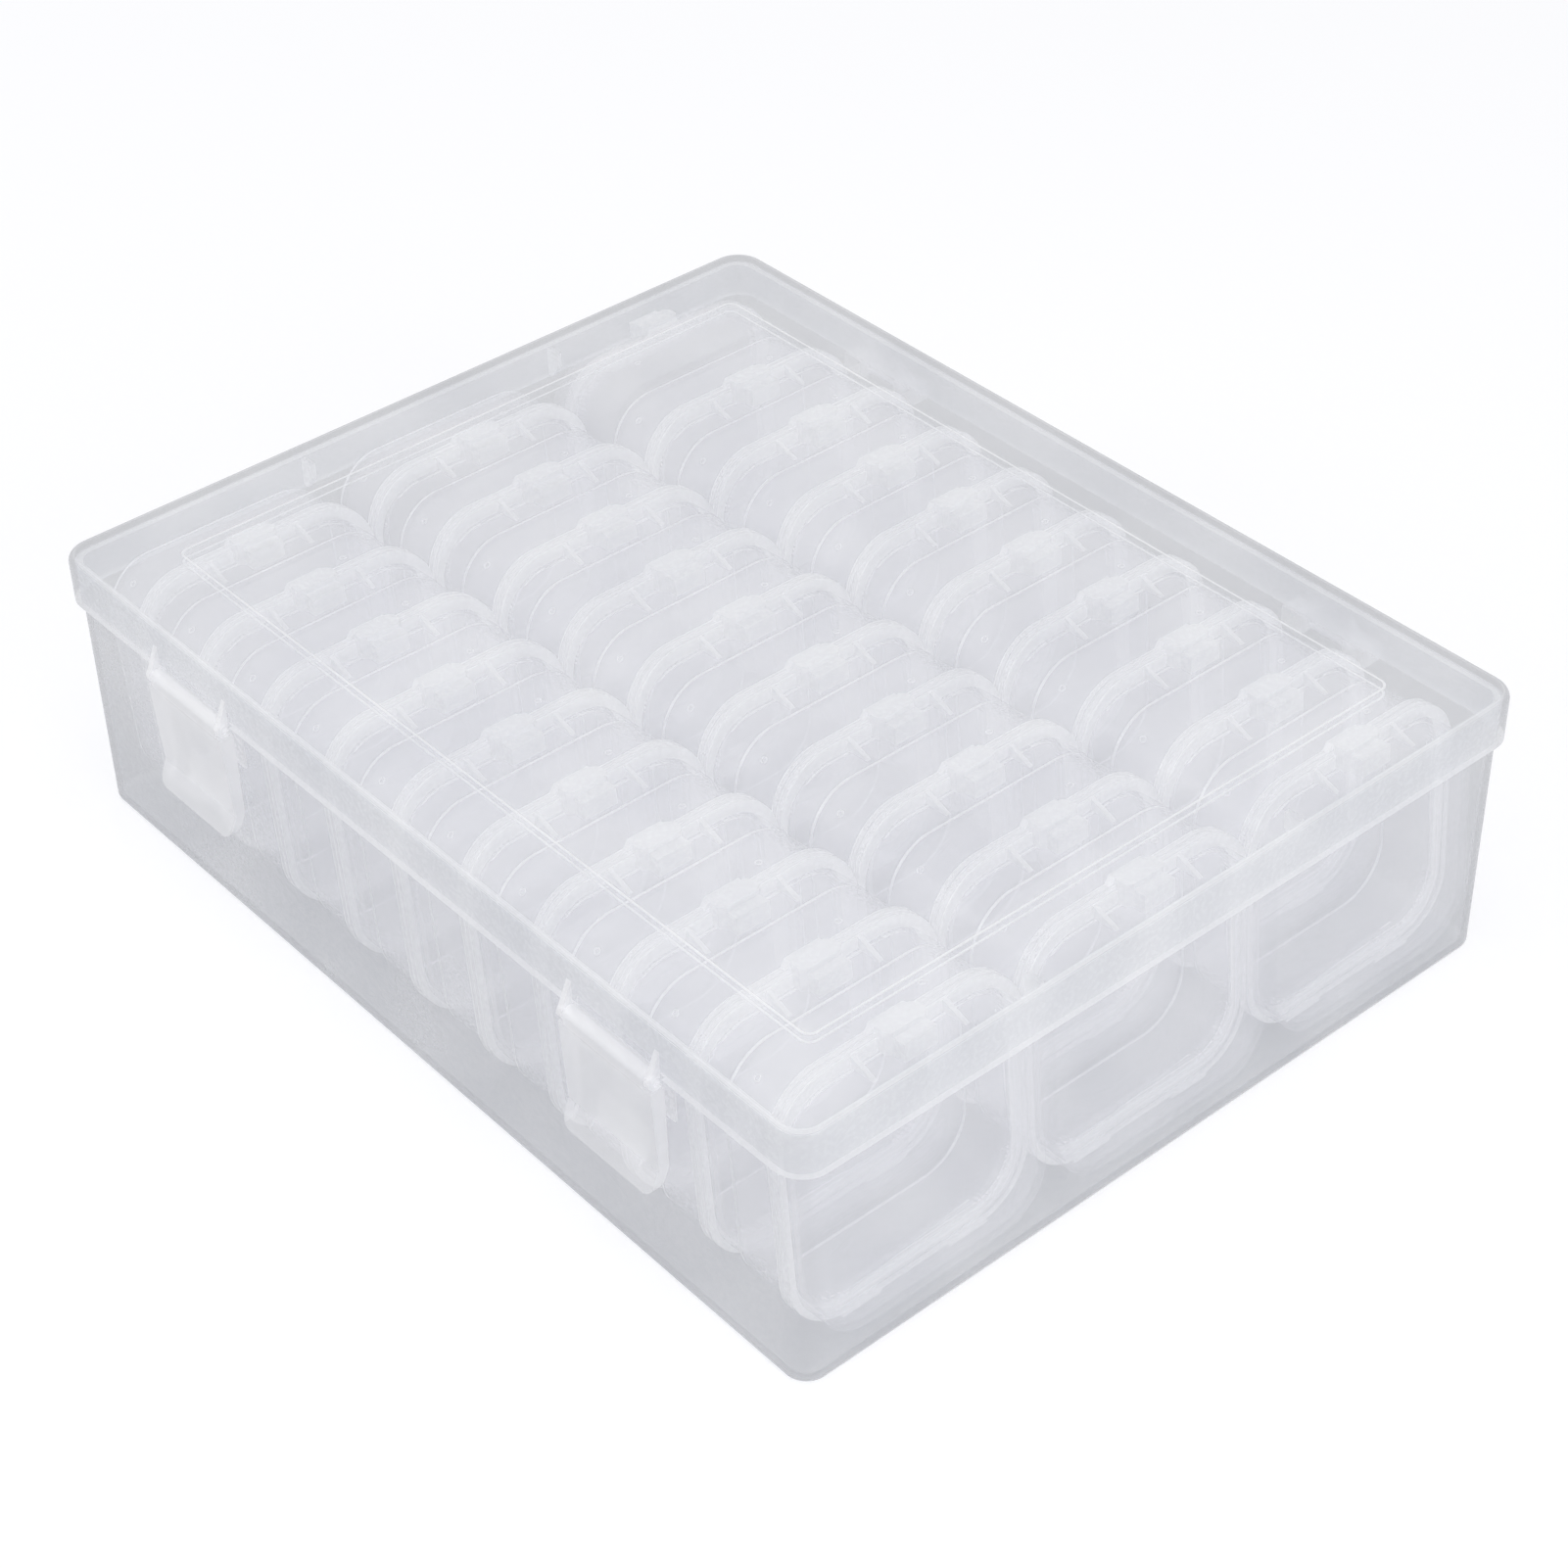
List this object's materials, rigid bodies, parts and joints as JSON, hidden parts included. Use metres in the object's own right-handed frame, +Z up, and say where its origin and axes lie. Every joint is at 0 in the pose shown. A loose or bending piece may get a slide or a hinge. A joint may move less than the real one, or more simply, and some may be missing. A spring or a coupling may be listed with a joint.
{
  "type": "bead organizer case",
  "caption": "Flat translucent hinged case with two front latches, holding upright snap-shut mini containers for beads and other small parts.",
  "frame": {"origin": "middle of the tray's flat underside, which rests on the table", "axes": "+X along the case's long side, -Y towards the latches, +Y towards the rear hinges, +Z up"},
  "size_m": [0.22, 0.1832, 0.0604],
  "materials": {
    "tray_plastic": "smooth translucent polypropylene",
    "lid_plastic": "smooth translucent polypropylene",
    "latch_plastic": "smooth translucent polypropylene",
    "base_plastic": "smooth translucent polypropylene",
    "small_lid_plastic": "smooth translucent polypropylene"
  },
  "bodies": {
    "case": {"tray": "tray_plastic", "base_a01": "base_plastic", "base_a02": "base_plastic", "base_a03": "base_plastic", "base_a04": "base_plastic", "base_a05": "base_plastic", "base_a06": "base_plastic", "base_a07": "base_plastic", "base_a08": "base_plastic", "base_a09": "base_plastic", "base_a10": "base_plastic", "base_b01": "base_plastic", "base_b02": "base_plastic", "base_b03": "base_plastic", "base_b04": "base_plastic", "base_b05": "base_plastic", "base_b06": "base_plastic", "base_b07": "base_plastic", "base_b08": "base_plastic", "base_b09": "base_plastic", "base_b10": "base_plastic", "base_c01": "base_plastic", "base_c02": "base_plastic", "base_c03": "base_plastic", "base_c04": "base_plastic", "base_c05": "base_plastic", "base_c06": "base_plastic", "base_c07": "base_plastic", "base_c08": "base_plastic", "base_c09": "base_plastic", "base_c10": "base_plastic", "small_lids_01": "small_lid_plastic", "small_lids_02": "small_lid_plastic", "small_lids_03": "small_lid_plastic", "small_lids_04": "small_lid_plastic", "small_lids_05": "small_lid_plastic", "small_lids_06": "small_lid_plastic", "small_lids_07": "small_lid_plastic", "small_lids_08": "small_lid_plastic", "small_lids_09": "small_lid_plastic", "small_lids_10": "small_lid_plastic"},
    "lid": {"case_lid": "lid_plastic"},
    "left_latch": {"latch_left": "latch_plastic"},
    "right_latch": {"latch_right": "latch_plastic"}
  },
  "joints": [
    {"name": "lid_hinge", "type": "hinge", "parent": "case", "child": "lid", "pos_m": [0, 0.09, 0.0475], "axis": [-1, 0, 0], "range_deg": [0, 180]},
    {"name": "latch_left_pivot", "type": "hinge", "parent": "lid", "child": "left_latch", "pos_m": [-0.0635, -0.0884, 0.0499], "axis": [-1, 0, 0], "range_deg": [0, 100]},
    {"name": "latch_right_pivot", "type": "hinge", "parent": "lid", "child": "right_latch", "pos_m": [0.0635, -0.0884, 0.0499], "axis": [-1, 0, 0], "range_deg": [0, 100]}
  ]
}
